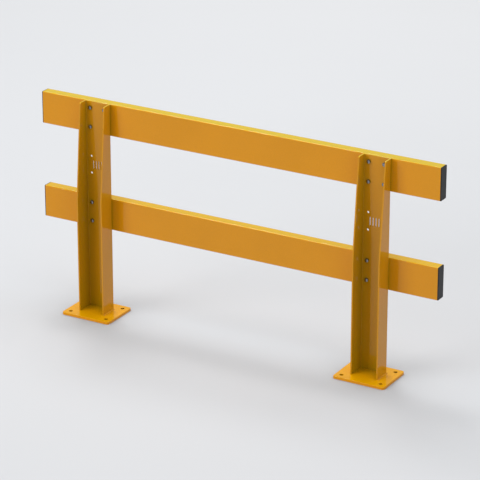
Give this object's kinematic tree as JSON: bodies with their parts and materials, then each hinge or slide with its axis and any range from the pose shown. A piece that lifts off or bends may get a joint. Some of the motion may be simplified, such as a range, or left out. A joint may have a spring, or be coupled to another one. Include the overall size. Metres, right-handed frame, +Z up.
{
  "type": "steel safety barrier",
  "caption": "Steel guard barrier with box-section rails bolted to folded, tapering channel posts, on drilled base plates, with plastic end caps.",
  "frame": {"origin": "on the floor, at the centre of the bounding box's underside, midway between the posts and the base plates' front and back edges", "axes": "+X along the rails, +Y from the posts' open side to the rails, +Z up"},
  "size_m": [2, 0.2, 1],
  "materials": {
    "yellow_powder_coat": "glossy golden-yellow powder coat on steel",
    "black_plastic": "matt moulded dark grey to black plastic",
    "zinc_steel": "zinc-plated steel bolts"
  },
  "bodies": {
    "root": {"left_base_plate": "yellow_powder_coat", "right_base_plate": "yellow_powder_coat", "left_post": "yellow_powder_coat", "right_post": "yellow_powder_coat", "left_post_weld": "yellow_powder_coat", "right_post_weld": "yellow_powder_coat", "top_rail": "yellow_powder_coat", "bottom_rail": "yellow_powder_coat", "top_left_end_cap": "black_plastic", "top_right_end_cap": "black_plastic", "bottom_left_end_cap": "black_plastic", "bottom_right_end_cap": "black_plastic"}
  },
  "joints": []
}
